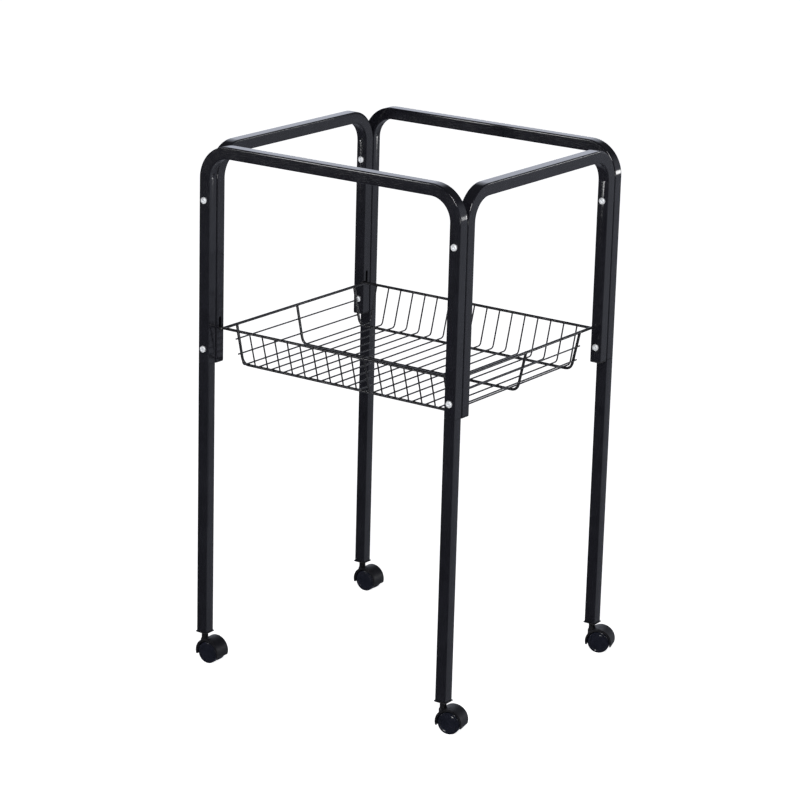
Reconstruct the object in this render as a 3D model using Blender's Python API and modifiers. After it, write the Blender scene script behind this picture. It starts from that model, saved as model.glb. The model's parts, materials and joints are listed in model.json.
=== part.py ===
"""Rolling stand: four bolted hoops of square tube, a hooked wire basket, lower legs and casters.

Frame: metres, +Z up, floor at z = 0, front rail along X on the -Y side. The origin lies on the
floor in the middle of the box round the whole stand, casters included.
"""
from math import cos, pi, radians, sin, sqrt

import bmesh
import bpy
from mathutils import Matrix, Vector

# Driving dimensions
TUBE = 0.017
WALL = 0.0012
TUBE_CORNER = 0.0016
STAND_WIDTH = 0.430
STAND_DEPTH = 0.400
STAND_HEIGHT = 0.752
SIDE_DROP = 0.0035
TUBE_GAP = 0.0012
BEND_RADIUS = 0.040
BEND_STEPS = 7
FIT_GAP = 0.0003

# Heights above the floor
UPPER_BOLT_Z = 0.673
LOWER_BOLT_Z = 0.4625
SEAM_Z = 0.442
LEG_FOOT_Z = 0.044

# Lower legs
SPIGOT_LENGTH = 0.040
SHOULDER_RISE = 0.002

# Button-head bolts and nuts (M5)
SHANK_R = 0.0024
BOLT_HOLE_R = 0.0028
NUT_HOLE_R = 0.0027
HEAD_R = 0.00475
HEAD_HEIGHT = 0.00275
HEAD_RIM = 0.0006
HEAD_FLAT_R = 0.0022
SOCKET_ACROSS_FLATS = 0.003
SOCKET_DEPTH = 0.0015
NUT_ACROSS_FLATS = 0.008
NUT_HEIGHT = 0.004
BOLT_TAIL = 0.002
RIVET_NUT_R = 0.0035
RIVET_NUT_FLANGE_R = 0.0050
RIVET_NUT_LENGTH = 0.0105
ROUND_STEPS = 12

# End caps under the side hoops
CAP_PLATE = 0.002
CAP_PLUG_LENGTH = 0.010

# Basket
RIM_Z = 0.488
RIM_WIRE_R = 0.0020
THIN_WIRE_R = 0.0011
BASKET_DEPTH = 0.056
RIM_CLEARANCE = 0.0005
RIM_END_INSET = 0.0045
SIDE_LEAN = 0.012
END_LEAN = 0.015
THIN_WIRES = 17
THIN_WIRE_MARGIN = 1
CROSS_WIRE_INSET = 0.030
SIDE_WIRE_DROPS = (0.021, 0.042)
WIRE_BEND = 0.005
HOOK_REACH = 0.0040
HOOK_DROP = 0.0090
SLOT_WIDTH = 0.0052
SLOT_HEIGHT = 0.0200
WIRE_WELD = 0.0003

# Casters: the trail runs along the caster's own +X, its axle along its own Y
WHEEL_R = 0.016
WHEEL_TREAD = 0.0092
WHEEL_INNER = 0.0022
WHEEL_DOME = 0.0008
WHEEL_SHOULDER = 0.0008
TRAIL = 0.0127
HOOD_R = 0.0196
HOOD_RISE = 0.0010
HOOD_INNER_R = 0.0173
HOOD_HALF_WIDTH = 0.0125
HOOD_LIP = radians(16.5)
WEB_HALF = 0.0015
HUB_R = 0.006
HUB_CUT = radians(30)
HOOD_STEPS = 22
HUB_STEPS = 6
NECK_STEPS = 16
BAY_STEPS = 44
AXLE_R = 0.0020
AXLE_HOLE_R = 0.0023
AXLE_HALF_LENGTH = 0.0085
NECK_R = 0.0047
NECK_TOP_Z = 0.0415
STEM_R = 0.0030
STEM_HOLE_R = 0.0033
STEM_FOOT_Z = 0.032
STEM_TOP_Z = 0.068
STEM_CHAMFER = 0.0008
STEM_HEAD = 0.004
STEM_GROOVE = 0.002
STEM_GROOVE_DEPTH = 0.0006
SOCKET_FLANGE = 0.0200
SOCKET_FLANGE_HEIGHT = 0.0016
SOCKET_PLUG_LENGTH = 0.028
WHEEL_STEPS = 24

AXLE_Z = WHEEL_R * cos(pi / WHEEL_STEPS)

CASTER_SWIVELS = {
    "front_left": radians(1),
    "front_right": radians(12),
    "back_left": radians(0),
    "back_right": radians(18),
}


def reach(angle, along, sign):
    """How far a caster turned by angle stands out from its stem along one axis."""
    trail = (cos(angle), sin(angle))[along] * sign
    axle = abs((sin(angle), cos(angle))[along])
    return TRAIL * trail + HOOD_R * abs(trail) + HOOD_HALF_WIDTH * axle


STEM_INSET = TUBE / 2
FLANGE_PROUD = (SOCKET_FLANGE - TUBE) / 2
RIGHT_OVERHANG = reach(CASTER_SWIVELS["front_right"], 0, 1) - STEM_INSET
BACK_OVERHANG = reach(CASTER_SWIVELS["back_right"], 1, 1) - STEM_INSET
FRONT_OVERHANG = max(HEAD_HEIGHT + FIT_GAP,
                     reach(CASTER_SWIVELS["front_right"], 1, -1) - STEM_INSET)
CENTRE_X = (FLANGE_PROUD - RIGHT_OVERHANG) / 2
CENTRE_Y = (FRONT_OVERHANG - BACK_OVERHANG) / 2

LEFT_X = CENTRE_X - STAND_WIDTH / 2 + TUBE / 2
RIGHT_X = CENTRE_X + STAND_WIDTH / 2 - TUBE / 2
FRONT_Y = CENTRE_Y - STAND_DEPTH / 2 + TUBE / 2
BACK_Y = CENTRE_Y + STAND_DEPTH / 2 - TUBE / 2
SIDE_FRONT_Y = FRONT_Y + TUBE + TUBE_GAP
SIDE_BACK_Y = BACK_Y - TUBE - TUBE_GAP
CORNERS = {
    "front_left": (LEFT_X, FRONT_Y),
    "front_right": (RIGHT_X, FRONT_Y),
    "back_left": (LEFT_X, BACK_Y),
    "back_right": (RIGHT_X, BACK_Y),
}
BOLT_STACKS = {
    "front_left": (LEFT_X, FRONT_Y),
    "front_right": (RIGHT_X, FRONT_Y),
    "back_left": (LEFT_X, SIDE_BACK_Y),
    "back_right": (RIGHT_X, SIDE_BACK_Y),
}


# Scene, collections and materials

for old in list(bpy.data.objects):
    bpy.data.objects.remove(old, do_unlink=True)


def new_collection(name):
    collection = bpy.data.collections.new(name)
    bpy.context.scene.collection.children.link(collection)
    return collection


PARTS = new_collection("rolling_stand")
CUTTERS = new_collection("cutters")


def material(name, colour, roughness, metallic):
    made = bpy.data.materials.new(name)
    made.use_nodes = True
    shader = made.node_tree.nodes["Principled BSDF"]
    shader.inputs["Base Color"].default_value = (*colour, 1)
    shader.inputs["Roughness"].default_value = roughness
    shader.inputs["Metallic"].default_value = metallic
    return made


BLACK_PAINT = material("black_paint", (0.012, 0.012, 0.014), 0.22, 0.0)
ZINC = material("zinc_plate", (0.62, 0.63, 0.64), 0.32, 1.0)
BLACK_PLASTIC = material("black_plastic", (0.020, 0.020, 0.022), 0.42, 0.0)
STEEL = material("steel", (0.50, 0.50, 0.51), 0.35, 1.0)


# Shape helpers

def add_part(name, mesh, look, place=Matrix(), parent=None):
    part = bpy.data.objects.new(name, mesh)
    PARTS.objects.link(part)
    if not mesh.materials:
        mesh.materials.append(look)
    part.parent = parent
    part.matrix_local = place
    return part


def cutter(name, mesh, place=Matrix()):
    tool = bpy.data.objects.new(name, mesh)
    CUTTERS.objects.link(tool)
    tool.matrix_local = place
    tool.hide_render = True
    tool.display_type = "WIRE"
    return tool


def boolean(target, tool, operation="DIFFERENCE"):
    modifier = target.modifiers.new(operation.lower(), "BOOLEAN")
    modifier.operation = operation
    modifier.object = tool
    modifier.solver = "EXACT"


def smooth(mesh, angle=35):
    mesh.shade_smooth()
    mesh.set_sharp_from_angle(angle=radians(angle))


def evaluated_mesh(source):
    """The finished mesh of an object, with its curve caps welded; the object is removed."""
    bpy.context.view_layer.update()
    graph = bpy.context.evaluated_depsgraph_get()
    mesh = bpy.data.meshes.new_from_object(source.evaluated_get(graph))
    mesh.name = source.name
    work = bmesh.new()
    work.from_mesh(mesh)
    bmesh.ops.remove_doubles(work, verts=work.verts, dist=1e-6)
    bmesh.ops.recalc_face_normals(work, faces=work.faces)
    work.to_mesh(mesh)
    work.free()
    bpy.data.objects.remove(source, do_unlink=True)
    return mesh


def cylinder_mesh(name, radius, length, steps=ROUND_STEPS):
    """A cylinder along Z from 0 to length."""
    mesh = bpy.data.meshes.new(name)
    work = bmesh.new()
    bmesh.ops.create_cone(work, cap_ends=True, segments=steps, radius1=radius, radius2=radius,
                          depth=length, matrix=Matrix.Translation((0, 0, length / 2)))
    work.to_mesh(mesh)
    work.free()
    return mesh


def box_mesh(name, size):
    mesh = bpy.data.meshes.new(name)
    work = bmesh.new()
    bmesh.ops.create_cube(work, size=1, matrix=Matrix.Diagonal((*size, 1)))
    work.to_mesh(mesh)
    work.free()
    return mesh


def curve_object(name, points, flat=False, cyclic=False):
    curve = bpy.data.curves.new(name, "CURVE")
    curve.dimensions = "2D" if flat else "3D"
    spline = curve.splines.new("POLY")
    spline.points.add(len(points) - 1)
    for slot, point in zip(spline.points, points):
        slot.co = (*point, 0, 1) if flat else (*point, 1)
    spline.use_cyclic_u = cyclic
    made = bpy.data.objects.new(name, curve)
    CUTTERS.objects.link(made)
    return made


def arc(centre, radius, start, end, steps):
    turns = [start + (end - start) * step / steps for step in range(steps + 1)]
    return [(centre[0] + radius * cos(turn), centre[1] + radius * sin(turn)) for turn in turns]


def extruded(name, outline, half_thickness):
    """A flat outline drawn in XY, given its thickness along Z."""
    flat = curve_object(name, outline, flat=True, cyclic=True)
    flat.data.fill_mode = "BOTH"
    flat.data.extrude = half_thickness
    return evaluated_mesh(flat)


def turned(name, profile, steps):
    """A closed profile of (radius, height) points, given from the top down its outer side."""
    mesh = bpy.data.meshes.new(name)
    work = bmesh.new()
    points = [work.verts.new((radius, 0, height)) for radius, height in profile]
    on_axis = profile[0][0] == 0
    for first, second in zip(points, points[1:]):
        work.edges.new((first, second))
    if not on_axis:
        work.edges.new((points[-1], points[0]))
    work.to_mesh(mesh)
    work.free()
    spun = bpy.data.objects.new(name, mesh)
    CUTTERS.objects.link(spun)
    screw = spun.modifiers.new("turn", "SCREW")
    screw.steps = steps
    screw.render_steps = steps
    screw.use_merge_vertices = True
    screw.merge_threshold = 1e-5
    return evaluated_mesh(spun)


def square_ring(half, corner):
    """Corner points of a square with cut corners, counter-clockwise."""
    inner = half - corner
    return [(half, -inner), (half, inner), (inner, half), (-inner, half),
            (-half, inner), (-half, -inner), (-inner, -half), (inner, -half)]


def square_loft(name, rings, closed):
    """Square sections (height, half size, corner) joined in order.

    A closed loft runs up the outside and down the bore of a hollow piece; an open one is capped.
    """
    mesh = bpy.data.meshes.new(name)
    work = bmesh.new()
    loops = [[work.verts.new((x, y, height)) for x, y in square_ring(half, corner)]
             for height, half, corner in rings]
    pairs = list(zip(loops, loops[1:]))
    if closed:
        pairs.append((loops[-1], loops[0]))
    else:
        work.faces.new(loops[0])
        work.faces.new(loops[-1])
    for low, high in pairs:
        for index in range(len(low)):
            after = (index + 1) % len(low)
            work.faces.new((low[index], low[after], high[after], high[index]))
    bmesh.ops.recalc_face_normals(work, faces=work.faces)
    work.to_mesh(mesh)
    work.free()
    return mesh


# Hoops of square tube

def hoop(name, span, top_z, plane_turn, centre):
    """An inverted U of square tube; span is the distance between its leg centre lines."""
    half = span / 2
    crown = top_z - TUBE / 2
    bend_z = crown - BEND_RADIUS
    bend_x = half - BEND_RADIUS
    path = [(-half, SEAM_Z)]
    path += arc((-bend_x, bend_z), BEND_RADIUS, pi, pi / 2, BEND_STEPS)
    path += arc((bend_x, bend_z), BEND_RADIUS, pi / 2, 0, BEND_STEPS)
    path.append((half, SEAM_Z))
    rail = curve_object(name, path, flat=True)
    section = curve_object(name + "_section", square_ring(TUBE / 2, TUBE_CORNER), flat=True,
                           cyclic=True)
    rail.data.bevel_mode = "OBJECT"
    rail.data.bevel_object = section
    mesh = evaluated_mesh(rail)
    bpy.data.objects.remove(section, do_unlink=True)
    upright = Matrix.Rotation(pi / 2, 4, "X")
    place = Matrix.Translation((*centre, 0)) @ Matrix.Rotation(plane_turn, 4, "Z") @ upright
    mesh.transform(place)
    made = add_part(name, mesh, BLACK_PAINT)
    shell = made.modifiers.new("wall", "SOLIDIFY")
    shell.thickness = WALL
    shell.offset = -1
    shell.use_even_offset = True
    smooth(mesh)
    return made


def along_y(x, y, z):
    """Turns a piece made along Z so that it runs along +Y from (x, y, z)."""
    return Matrix.Translation((x, y, z)) @ Matrix.Rotation(-pi / 2, 4, "X")


def drill_y(target, label, x, y, z, radius, length):
    mesh = cylinder_mesh(label, radius, length)
    half_step = Matrix.Rotation(pi / ROUND_STEPS, 4, "Z")
    boolean(target, cutter(label, mesh, along_y(x, y - length / 2, z) @ half_step))


def make_hoops():
    middle_x = (LEFT_X + RIGHT_X) / 2
    middle_y = (FRONT_Y + BACK_Y) / 2
    wide = RIGHT_X - LEFT_X
    side = SIDE_BACK_Y - SIDE_FRONT_Y
    side_top = STAND_HEIGHT - SIDE_DROP
    front = hoop("front_hoop", wide, STAND_HEIGHT, 0, (middle_x, FRONT_Y))
    back = hoop("back_hoop", wide, STAND_HEIGHT, 0, (middle_x, BACK_Y))
    left = hoop("left_hoop", side, side_top, pi / 2, (LEFT_X, middle_y))
    right = hoop("right_hoop", side, side_top, pi / 2, (RIGHT_X, middle_y))
    through = TUBE + 2 * WALL
    for x, side_hoop in ((LEFT_X, left), (RIGHT_X, right)):
        for z in (UPPER_BOLT_Z, LOWER_BOLT_Z):
            drill_y(front, "front_bolt_hole", x, FRONT_Y, z, BOLT_HOLE_R, through)
            drill_y(side_hoop, "side_bolt_hole", x, SIDE_BACK_Y, z, BOLT_HOLE_R, through)
        drill_y(side_hoop, "side_nut_hole", x, SIDE_FRONT_Y, LOWER_BOLT_Z, BOLT_HOLE_R, through)
        drill_y(back, "back_nut_hole", x, BACK_Y, LOWER_BOLT_Z, BOLT_HOLE_R, through)
        for target, y in ((side_hoop, SIDE_FRONT_Y), (back, BACK_Y)):
            drill_y(target, "rivet_nut_hole", x, y - TUBE / 2, UPPER_BOLT_Z,
                    RIVET_NUT_R + FIT_GAP, 4 * WALL)
        for y in (SIDE_FRONT_Y, SIDE_BACK_Y):
            cut_slot(side_hoop, x, y)


def cut_slot(side_hoop, x, y):
    """The slot in the inner face of a side leg that takes one hook of the basket."""
    inward = 1 if x == LEFT_X else -1
    mesh = box_mesh("hook_slot", (4 * WALL, SLOT_WIDTH, SLOT_HEIGHT))
    low = RIM_Z - RIM_WIRE_R - FIT_GAP
    place = Matrix.Translation((x + inward * TUBE / 2, y, low + SLOT_HEIGHT / 2))
    boolean(side_hoop, cutter("hook_slot", mesh, place))


# Lower legs, caps, bolts and nuts

def make_lower_legs():
    bore = TUBE / 2 - WALL
    spigot = bore - FIT_GAP
    spigot_bore = spigot - WALL
    top = SEAM_Z - FIT_GAP
    inner = TUBE_CORNER - WALL
    rings = [(LEG_FOOT_Z, TUBE / 2, TUBE_CORNER), (top, TUBE / 2, TUBE_CORNER),
             (top, spigot, inner), (SEAM_Z + SPIGOT_LENGTH, spigot, inner),
             (SEAM_Z + SPIGOT_LENGTH, spigot_bore, inner),
             (top - SHOULDER_RISE, spigot_bore, inner),
             (top - 2 * SHOULDER_RISE, bore, inner), (LEG_FOOT_Z, bore, inner)]
    for corner, (x, y) in CORNERS.items():
        mesh = square_loft("lower_leg_" + corner, rings, closed=True)
        leg = add_part("lower_leg_" + corner, mesh, BLACK_PAINT, Matrix.Translation((x, y, 0)))
        smooth(mesh)
        drill_y(leg, "spigot_hole", x, y, LOWER_BOLT_Z, BOLT_HOLE_R, TUBE)


def make_end_caps():
    plug = TUBE / 2 - WALL - FIT_GAP
    inner = TUBE_CORNER - WALL
    rings = [(-FIT_GAP - CAP_PLATE, TUBE / 2, TUBE_CORNER), (-FIT_GAP, TUBE / 2, TUBE_CORNER),
             (-FIT_GAP, plug, inner), (CAP_PLUG_LENGTH, plug, inner)]
    mesh = square_loft("end_cap", rings, closed=False)
    smooth(mesh)
    for corner, (x, y) in CORNERS.items():
        leg_y = SIDE_FRONT_Y if y == FRONT_Y else SIDE_BACK_Y
        place = Matrix.Translation((x, leg_y, SEAM_Z))
        add_part("end_cap_" + corner, mesh, BLACK_PLASTIC, place)


def hex_mesh(name, across_flats, height):
    return cylinder_mesh(name, across_flats / 2 / cos(pi / 6), height, 6)


def bolt_mesh(name, shank_length):
    """A button-head bolt along Z: its head's underside is at 0 and its shank points to +Z."""
    rim, flat = (HEAD_R, -HEAD_RIM), (HEAD_FLAT_R, -HEAD_HEIGHT)
    shoulder = ((2 * HEAD_R + HEAD_FLAT_R) / 3, -HEAD_RIM - (HEAD_HEIGHT - HEAD_RIM) * 3 / 4)
    made = cutter(name, turned(name, [
        (0, -HEAD_HEIGHT), flat, shoulder, rim, (HEAD_R, 0), (SHANK_R, 0),
        (SHANK_R, shank_length), (0, shank_length),
    ], ROUND_STEPS))
    socket = cutter(name + "_socket", hex_mesh("socket", SOCKET_ACROSS_FLATS, 2 * SOCKET_DEPTH),
                    Matrix.Translation((0, 0, -HEAD_HEIGHT - SOCKET_DEPTH)))
    boolean(made, socket)
    mesh = evaluated_mesh(made)
    bpy.data.objects.remove(socket, do_unlink=True)
    return mesh


def make_fasteners():
    stack = 2 * TUBE + TUBE_GAP
    upper = bolt_mesh("upper_bolt", TUBE + TUBE_GAP + RIVET_NUT_LENGTH + FIT_GAP)
    lower = bolt_mesh("lower_bolt", stack + NUT_HEIGHT + BOLT_TAIL + FIT_GAP)
    flange = TUBE_GAP - 2 * FIT_GAP
    rivet_nut = turned("rivet_nut", [
        (RIVET_NUT_FLANGE_R, flange), (RIVET_NUT_FLANGE_R, 0), (NUT_HOLE_R, 0),
        (NUT_HOLE_R, RIVET_NUT_LENGTH), (RIVET_NUT_R, RIVET_NUT_LENGTH), (RIVET_NUT_R, flange),
    ], ROUND_STEPS)
    hex_nut = cutter("hex_nut", hex_mesh("hex_nut", NUT_ACROSS_FLATS, NUT_HEIGHT))
    bore = cutter("hex_nut_bore", cylinder_mesh("hex_nut_bore", NUT_HOLE_R, 3 * NUT_HEIGHT),
                  Matrix.Translation((0, 0, -NUT_HEIGHT)))
    boolean(hex_nut, bore)
    nut = evaluated_mesh(hex_nut)
    bpy.data.objects.remove(bore, do_unlink=True)
    for corner, (x, y) in BOLT_STACKS.items():
        face = y - TUBE / 2
        add_part("upper_bolt_" + corner, upper, ZINC, along_y(x, face - FIT_GAP, UPPER_BOLT_Z))
        add_part("lower_bolt_" + corner, lower, ZINC, along_y(x, face - FIT_GAP, LOWER_BOLT_Z))
        inside = face + TUBE + FIT_GAP
        add_part("rivet_nut_" + corner, rivet_nut, ZINC, along_y(x, inside, UPPER_BOLT_Z))
        behind = face + stack + FIT_GAP
        add_part("lower_nut_" + corner, nut, ZINC, along_y(x, behind, LOWER_BOLT_Z))


# Wire basket

def wire(name, points, radius, sides=8, closed=False):
    made = curve_object(name, points, cyclic=closed)
    made.data.bevel_depth = radius
    made.data.bevel_resolution = (sides - 4) // 2
    made.data.use_fill_caps = not closed
    return cutter(name, evaluated_mesh(made))


def u_profile(half_top, half_bottom, top_z, bottom_z, bend, steps):
    """Points (across, height) of a wire down one wall, across the bottom and up the other."""
    lean = Vector((half_bottom - half_top, bottom_z - top_z)).normalized()
    corner = Vector((half_bottom, bottom_z))
    start = corner - lean * bend
    end = corner - Vector((bend, 0))
    half = [Vector((half_top, top_z))]
    for step in range(steps + 1):
        t = step / steps
        half.append(start.lerp(corner, t).lerp(corner.lerp(end, t), t))
    return [(point.x, point.y) for point in half] + [(-point.x, point.y) for point in reversed(half)]


def make_basket():
    middle_x = (LEFT_X + RIGHT_X) / 2
    middle_y = (FRONT_Y + BACK_Y) / 2
    rim_x = (RIGHT_X - LEFT_X) / 2 - TUBE / 2 - RIM_CLEARANCE - RIM_WIRE_R
    hook_y = (SIDE_BACK_Y - SIDE_FRONT_Y) / 2
    rim_y = hook_y - RIM_END_INSET
    bottom_z = RIM_Z - BASKET_DEPTH
    pieces = []

    # Two U wires along Y make the rim's sides and its four hooks
    hook_x = rim_x + RIM_WIRE_R + RIM_CLEARANCE + WALL + HOOK_REACH
    for side in (-1, 1):
        hook = [(hook_x, hook_y, RIM_Z - HOOK_DROP), (hook_x, hook_y, RIM_Z - RIM_WIRE_R),
                (hook_x - RIM_WIRE_R, hook_y, RIM_Z), (rim_x + RIM_WIRE_R, hook_y, RIM_Z),
                (rim_x, hook_y - RIM_WIRE_R, RIM_Z)]
        line = hook + [(x, -y, z) for x, y, z in reversed(hook)]
        place = [(middle_x + side * x, middle_y + y, z) for x, y, z in line]
        pieces.append(wire("rim_side", place, RIM_WIRE_R))
    for side in (-1, 1):
        y = middle_y + side * rim_y
        ends = [(middle_x - rim_x, y, RIM_Z), (middle_x + rim_x, y, RIM_Z)]
        pieces.append(wire("rim_end", ends, RIM_WIRE_R))

    # Thick U wires along X under the thin ones
    thick_bottom = bottom_z
    for y in (-rim_y + CROSS_WIRE_INSET, 0, rim_y - CROSS_WIRE_INSET):
        shape = u_profile(rim_x, rim_x - SIDE_LEAN, RIM_Z, thick_bottom, 2 * WIRE_BEND, 2)
        place = [(middle_x + across, middle_y + y, z) for across, z in shape]
        pieces.append(wire("cross_wire", place, RIM_WIRE_R))

    # Thin U wires along Y, resting on the thick ones
    thin_bottom = thick_bottom + RIM_WIRE_R + THIN_WIRE_R - WIRE_WELD
    pitch = 2 * rim_x / (THIN_WIRES - 1 + 2 * THIN_WIRE_MARGIN)
    inside = rim_y - RIM_WIRE_R - THIN_WIRE_R + WIRE_WELD
    for index in range(THIN_WIRES):
        x = middle_x + (index - (THIN_WIRES - 1) / 2) * pitch
        shape = u_profile(inside, inside - END_LEAN, RIM_Z, thin_bottom, WIRE_BEND, 2)
        place = [(x, middle_y + across, z) for across, z in shape]
        pieces.append(wire("thin_wire", place, THIN_WIRE_R, sides=6))

    # Two thin wires along Y outside each side wall's thick wires
    run = rim_y - CROSS_WIRE_INSET + 2 * RIM_WIRE_R
    for side in (-1, 1):
        for drop in SIDE_WIRE_DROPS:
            lean = SIDE_LEAN * drop / BASKET_DEPTH
            x = middle_x + side * (rim_x - lean + RIM_WIRE_R + THIN_WIRE_R - WIRE_WELD)
            ends = [(x, middle_y - run, RIM_Z - drop), (x, middle_y + run, RIM_Z - drop)]
            pieces.append(wire("side_wire", ends, THIN_WIRE_R, sides=6))

    basket = pieces[0]
    for piece in pieces[1:]:
        boolean(basket, piece, "UNION")
    mesh = evaluated_mesh(basket)
    for piece in pieces[1:]:
        bpy.data.objects.remove(piece, do_unlink=True)
    smooth(mesh)
    add_part("wire_basket", mesh, BLACK_PAINT)


# Casters

def across_y(x, z, start_y):
    """Turns a piece made along Z so that it runs along +Y from start_y at (x, z)."""
    return Matrix.Translation((x, start_y, z)) @ Matrix.Rotation(-pi / 2, 4, "X")


def caster_body_mesh():
    """Hood, middle web and neck in one moulding; the stem axis is at the origin."""
    upper = arc((TRAIL, AXLE_Z + HOOD_RISE), HOOD_R, -HOOD_LIP, pi + HOOD_LIP,
                HOOD_STEPS)
    lip_drop = HOOD_R * sin(HOOD_LIP) - HOOD_RISE
    inner_reach = sqrt(HOOD_INNER_R ** 2 - lip_drop ** 2)
    inner_end = (TRAIL - inner_reach, AXLE_Z - lip_drop)
    inner_start = (TRAIL + inner_reach, AXLE_Z - lip_drop)
    below = arc((TRAIL, AXLE_Z), HUB_R, pi + HUB_CUT, 2 * pi - HUB_CUT, HUB_STEPS)
    outline = upper + [inner_end] + below + [inner_start]
    solid = extruded("caster_body", outline, HOOD_HALF_WIDTH)
    solid.transform(Matrix.Rotation(pi / 2, 4, "X"))
    body = cutter("caster_body", solid)
    neck_foot = AXLE_Z + HUB_R
    tools = [(cutter("caster_neck",
                     cylinder_mesh("caster_neck", NECK_R, NECK_TOP_Z - neck_foot,
                                   NECK_STEPS),
                     Matrix.Translation((0, 0, neck_foot))), "UNION")]
    bay = cylinder_mesh("wheel_bay", HOOD_INNER_R, HOOD_HALF_WIDTH, BAY_STEPS)
    for start in (WEB_HALF, -WEB_HALF - HOOD_HALF_WIDTH):
        tools.append((cutter("wheel_bay", bay, across_y(TRAIL, AXLE_Z, start)), "DIFFERENCE"))
    stem_depth = NECK_TOP_Z - STEM_FOOT_Z + FIT_GAP
    tools.append((cutter("stem_hole", cylinder_mesh("stem_hole", STEM_HOLE_R, 2 * stem_depth),
                         Matrix.Translation((0, 0, STEM_FOOT_Z - FIT_GAP))), "DIFFERENCE"))
    tools.append((cutter("axle_hole", cylinder_mesh("axle_hole", AXLE_HOLE_R, 6 * WEB_HALF),
                         across_y(TRAIL, AXLE_Z, -3 * WEB_HALF)), "DIFFERENCE"))
    for tool, operation in tools:
        boolean(body, tool, operation)
    mesh = evaluated_mesh(body)
    for tool, operation in tools:
        bpy.data.objects.remove(tool, do_unlink=True)
    smooth(mesh)
    return mesh


def wheel_mesh():
    """A wheel with its axis on Z: its inner face is at 0 and its domed face points to +Z."""
    face = WHEEL_TREAD
    flank_r = WHEEL_R - WHEEL_SHOULDER
    return turned("wheel", [
        (0, face + WHEEL_DOME), (WHEEL_R / 2, face + 3 * WHEEL_DOME / 4),
        (flank_r - 2 * WHEEL_SHOULDER, face), (flank_r, face), (WHEEL_R, face - WHEEL_SHOULDER),
        (WHEEL_R, WHEEL_SHOULDER), (flank_r, 0), (AXLE_HOLE_R, 0),
        (AXLE_HOLE_R, AXLE_HALF_LENGTH - WHEEL_INNER + FIT_GAP),
        (0, AXLE_HALF_LENGTH - WHEEL_INNER + FIT_GAP),
    ], WHEEL_STEPS)


def stem_mesh():
    """The steel stem, with the groove near its head that keeps it in the socket."""
    groove = STEM_R - STEM_GROOVE_DEPTH
    groove_top = STEM_TOP_Z - STEM_HEAD
    groove_foot = groove_top - STEM_GROOVE
    return turned("caster_stem", [
        (0, STEM_TOP_Z), (STEM_R - STEM_CHAMFER, STEM_TOP_Z), (STEM_R, STEM_TOP_Z - STEM_CHAMFER),
        (STEM_R, groove_top), (groove, groove_top), (groove, groove_foot),
        (STEM_R, groove_foot), (STEM_R, STEM_FOOT_Z), (0, STEM_FOOT_Z),
    ], ROUND_STEPS)


def make_socket(corner, x, y):
    """The plastic insert that closes the foot of a leg and carries the stem."""
    plug = TUBE / 2 - WALL - FIT_GAP
    inner = TUBE_CORNER - WALL
    top = LEG_FOOT_Z - FIT_GAP
    bottom = top - SOCKET_FLANGE_HEIGHT
    rings = [(bottom, SOCKET_FLANGE / 2, TUBE_CORNER), (top, SOCKET_FLANGE / 2, TUBE_CORNER),
             (top, plug, inner), (top + SOCKET_PLUG_LENGTH, plug, inner)]
    mesh = square_loft("caster_socket_" + corner, rings, closed=False)
    socket = add_part("caster_socket_" + corner, mesh, BLACK_PLASTIC,
                      Matrix.Translation((x, y, 0)))
    bore = cylinder_mesh("socket_bore", STEM_HOLE_R, 2 * SOCKET_PLUG_LENGTH)
    boolean(socket, cutter("socket_bore", bore, Matrix.Translation((x, y, bottom - WALL))))


def make_casters():
    body = caster_body_mesh()
    wheel = wheel_mesh()
    stem = stem_mesh()
    axle = cylinder_mesh("caster_axle", AXLE_R, 2 * AXLE_HALF_LENGTH)
    for shared in (wheel, stem, axle):
        smooth(shared)
    for corner, (x, y) in CORNERS.items():
        make_socket(corner, x, y)
        swivel = bpy.data.objects.new("caster_swivel_" + corner, None)
        PARTS.objects.link(swivel)
        turn = Matrix.Rotation(CASTER_SWIVELS[corner], 4, "Z")
        swivel.matrix_world = Matrix.Translation((x, y, 0)) @ turn
        add_part("caster_stem_" + corner, stem, STEEL, parent=swivel)
        add_part("caster_body_" + corner, body, BLACK_PLASTIC, parent=swivel)
        add_part("caster_axle_" + corner, axle, STEEL,
                 across_y(TRAIL, AXLE_Z, -AXLE_HALF_LENGTH), swivel)
        flat_down = Matrix.Rotation(pi / WHEEL_STEPS, 4, "Z")
        back = across_y(TRAIL, AXLE_Z, WHEEL_INNER) @ flat_down
        front = Matrix.Rotation(pi, 4, "Z") @ across_y(-TRAIL, AXLE_Z, WHEEL_INNER) @ flat_down
        add_part("caster_wheel_a_" + corner, wheel, BLACK_PLASTIC, front, swivel)
        add_part("caster_wheel_b_" + corner, wheel, BLACK_PLASTIC, back, swivel)


make_hoops()
make_lower_legs()
make_end_caps()
make_fasteners()
make_basket()
make_casters()
bpy.context.view_layer.update()
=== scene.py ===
import json
from math import cos, exp, pi, radians, sin, sqrt

import bmesh
import bpy
from mathutils import Matrix, Vector


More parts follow.
